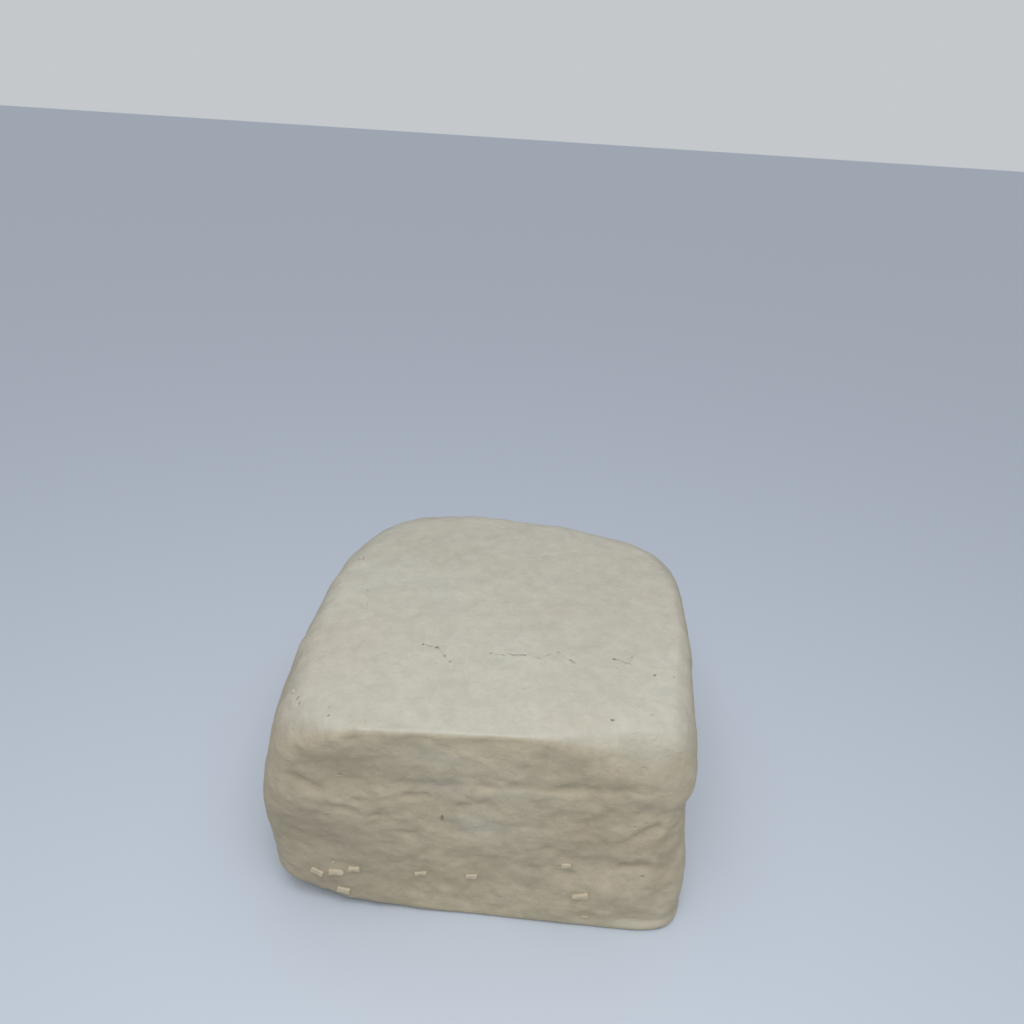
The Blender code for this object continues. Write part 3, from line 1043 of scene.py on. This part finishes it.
@dataclass
class SlotTabs:
    """Tabs of curd pushed through the slots of the box, low on the front."""

    body: bpy.types.Object
    width: float = 0.0034
    height: float = 0.0019
    proud: float = 0.00085
    cuts: int = 9
    squareness: float = 4.0
    dip: float = 0.38
    pinch: float = 0.18
    unevenness: float = 0.16
    noise_gaps: Triple = (0.0, 17.3, 41.9)
    places: tuple[Quad, ...] = (
        (-0.0418, 0.0134, -24.0, 1.0), (-0.0368, 0.0141, -8.0, 1.0),
        (-0.0322, 0.0153, 3.0, 1.0), (-0.0353, 0.0066, -3.0, 1.05),
        (-0.0375, 0.0170, 20.0, 0.28), (-0.0150, 0.0150, 2.0, 0.9),
        (-0.0020, 0.0152, -3.0, 0.9), (0.0219, 0.0224, 2.0, 0.80),
        (0.0263, 0.0134, 20.0, 1.22), (0.0283, 0.0047, 0.0, 0.50),
    )

    def build(self) -> bpy.types.Object:
        """Model all tabs as one object and return it."""
        shape = bmesh.new()
        draw = random.Random(5)
        for row in self.places:
            self._add_tab(shape, row, draw)
        return add_piece("slot_tabs", smooth_mesh("slot_tabs", shape), TAB_FINISH)

    def _add_tab(self, shape: bmesh.types.BMesh, row: Quad,
                 draw: random.Random) -> None:
        """Add one tab, a small pillow with a dip across its middle, set into the front.

        Args:
            shape: The mesh that takes it.
            row: Its X and Z, its turn in degrees, and its share of the full size.
            draw: Source of its unevenness.
        """
        x, z, tilt, share = row
        hit, place, normal, _face = self.body.ray_cast(Vector((x, -0.2, z)), Vector((0, 1, 0)))
        if not hit:
            raise ValueError(f"no front behind x {x}, z {z}")
        turn = normal.to_track_quat("Y", "Z").to_matrix().to_4x4()
        spin = Matrix.Rotation(radians(tilt), 4, "Y")
        half = Vector((self.width * draw.uniform(0.9, 1.1), 2.0 * self.proud,
                       self.height * draw.uniform(0.85, 1.1))) * share / 2
        lean = draw.uniform(-0.25, 0.25)
        into = Matrix.Translation(place) @ turn @ spin @ Matrix.Diagonal((*half, 1.0))
        blob = bmesh.new()
        bmesh.ops.create_cube(blob, size=2.0)
        bmesh.ops.subdivide_edges(blob, edges=blob.edges, cuts=self.cuts, use_grid_fill=True)
        for vertex in blob.verts:
            across, out, up = vertex.co
            power = self.squareness
            length = (abs(across) ** power + abs(out) ** power + abs(up) ** power) ** (1 / power)
            across, out, up = across / length, out / length, up / length
            dip = self.dip * (1.0 - across * across) * (1.0 - lean * across)
            pinch = 1.0 - self.pinch * (1.0 - across * across)
            vertex.co = (across, out * (1.0 - dip), up * pinch)
            sample = vertex.co * 1.3 + place * 900.0
            shift = [noise.noise(sample + Vector((gap, 0.0, 0.0))) for gap in self.noise_gaps]
            vertex.co += self.unevenness * Vector(shift)
        blob.transform(into)
        made = smooth_mesh("tab", blob)
        shape.from_mesh(made)
        bpy.data.meshes.remove(made)


@dataclass
class LooseCrumbs:
    """Crumbs of curd that stuck to the block when it was turned out."""

    body: bpy.types.Object
    lumpiness: float = 0.35
    flatness: float = 0.7
    places: tuple[Triple, ...] = (
        (-0.0420, 0.0165, 0.00085), (-0.0407, 0.0157, 0.00045), (-0.0475, -0.0395, 0.00055),
        (-0.0372, -0.0460, 0.00040), (0.0410, 0.0330, 0.00035), (0.0120, 0.0380, 0.00030),
    )

    def build(self) -> bpy.types.Object:
        """Model all crumbs as one object and return it."""
        shape = bmesh.new()
        for x, y, radius in self.places:
            hit, place, normal, _face = self.body.ray_cast(Vector((x, y, 0.2)), Vector((0, 0, -1)))
            if hit:
                self._add_crumb(shape, place, normal, radius)
        return add_piece("crumbs", smooth_mesh("crumbs", shape), CRUMB_FINISH)

    def _add_crumb(self, shape: bmesh.types.BMesh, place: Vector, normal: Vector,
                   radius: float) -> None:
        """Add one crumb, a lumpy ball pressed into the surface.

        Args:
            shape: The mesh that takes it.
            place: Where it lies.
            normal: The surface's way out.
            radius: Its size.
        """
        made = bmesh.ops.create_icosphere(shape, subdivisions=3, radius=radius)["verts"]
        for vertex in made:
            lump = noise.noise(vertex.co * (1.1 / radius) + place * 900.0)
            vertex.co = vertex.co * (1.0 + self.lumpiness * lump)
            vertex.co.z *= self.flatness
        turn = normal.to_track_quat("Z", "Y").to_matrix().to_4x4()
        into = Matrix.Translation(place + normal * radius * 0.1) @ turn
        bmesh.ops.transform(shape, matrix=into, verts=made)


# Studio


@dataclass
class Studio:
    """Pale floor, soft daylight from above, and the camera."""

    floor_colour: Colour = (0.675, 0.745, 0.845)
    bounce_colour: Colour = (0.540, 0.555, 0.570)
    room_colour: Colour = (0.925, 0.96, 1.0)
    room_strength: float = 0.340
    backdrop_strength: float = 0.600
    light_colour: Colour = (0.985, 0.985, 0.99)
    light_strength: float = 0.62
    light_spread: float = 75.0
    light_way: Triple = (0.0, 0.10, -1.0)
    box_power: float = 0.54
    box_size: float = 0.20
    box_place: Triple = (0.0, -0.21, 0.36)
    camera_place: Triple = (0.00172, -0.18247, 0.19520)
    pitch: float = 29.05
    roll: float = 3.75
    yaw: float = 0.30
    lens: float = 27.42
    sensor: float = 36.0

    def build(self) -> None:
        """Set up the floor, the light and the camera."""
        self._floor()
        self._room()
        overhead = self._light("overhead", "SUN", self.light_strength)
        overhead.data.angle = radians(self.light_spread)
        overhead.rotation_euler = Vector(self.light_way).to_track_quat("-Z", "Y").to_euler()
        softbox = self._light("softbox", "AREA", self.box_power)
        softbox.data.size = self.box_size
        softbox.location = self.box_place
        self._camera()
        bpy.context.scene.view_settings.view_transform = "Standard"

    def _floor(self) -> None:
        """Lay the floor, cool to the eye but neutral in the light that it throws back."""
        bpy.ops.mesh.primitive_plane_add(size=6.0)
        floor = bpy.context.object
        floor.name = "floor"
        made = bpy.data.materials.new("pale_floor")
        made.use_nodes = True
        sheet = NodeSheet(made.node_tree)
        seen = sheet.add("LightPath").outputs["Is Camera Ray"]
        tint = sheet.blend(seen, self.bounce_colour, self.floor_colour)
        shader = sheet.add("BsdfPrincipled", {"Base Color": tint, "Roughness": 0.6,
                                              "Specular IOR Level": 0.2})
        sheet.add("OutputMaterial", {"Surface": shader.outputs["BSDF"]})
        floor.data.materials.append(made)

    def _room(self) -> None:
        """Fill the room with even, cool light, seen brighter than it shines."""
        world = bpy.data.worlds.new("room")
        world.use_nodes = True
        sheet = NodeSheet(world.node_tree)
        seen = sheet.add("LightPath").outputs["Is Camera Ray"]
        strength = sheet.spread(seen, 0.0, 1.0, self.room_strength, self.backdrop_strength)
        room = sheet.add("Background", {"Color": (*self.room_colour, 1.0), "Strength": strength})
        sheet.add("OutputWorld", {"Surface": room.outputs["Background"]})
        bpy.context.scene.world = world

    def _light(self, name: str, kind: str, energy: float) -> bpy.types.Object:
        """Add a light and return its object."""
        light = bpy.data.lights.new(name, kind)
        light.color = self.light_colour
        light.energy = energy
        hung = bpy.data.objects.new(name, light)
        bpy.context.scene.collection.objects.link(hung)
        return hung

    def _camera(self) -> None:
        """Place the camera in front of the block, looking down at it."""
        data = bpy.data.cameras.new("camera")
        data.lens = self.lens
        data.sensor_width = self.sensor
        data.clip_start = 0.01
        camera = bpy.data.objects.new("camera", data)
        bpy.context.scene.collection.objects.link(camera)
        level = Matrix.Rotation(-radians(self.yaw), 4, "Z")
        down = Matrix.Rotation(radians(90.0 - self.pitch), 4, "X")
        roll = Matrix.Rotation(radians(self.roll), 4, "Z")
        camera.matrix_world = Matrix.Translation(self.camera_place) @ level @ down @ roll
        bpy.context.scene.camera = camera


def main() -> None:
    """Build every piece in order and report it."""
    logging.basicConfig(level=logging.INFO, format="%(name)s: %(message)s")
    body = TofuBody(BlockForm()).build()
    bpy.context.view_layer.update()
    for piece in (body, SlotTabs(body).build(), LooseCrumbs(body).build()):
        LOG.info("%s has %d faces", piece.name, len(piece.data.polygons))
    Studio().build()


if __name__ == "__main__":
    main()
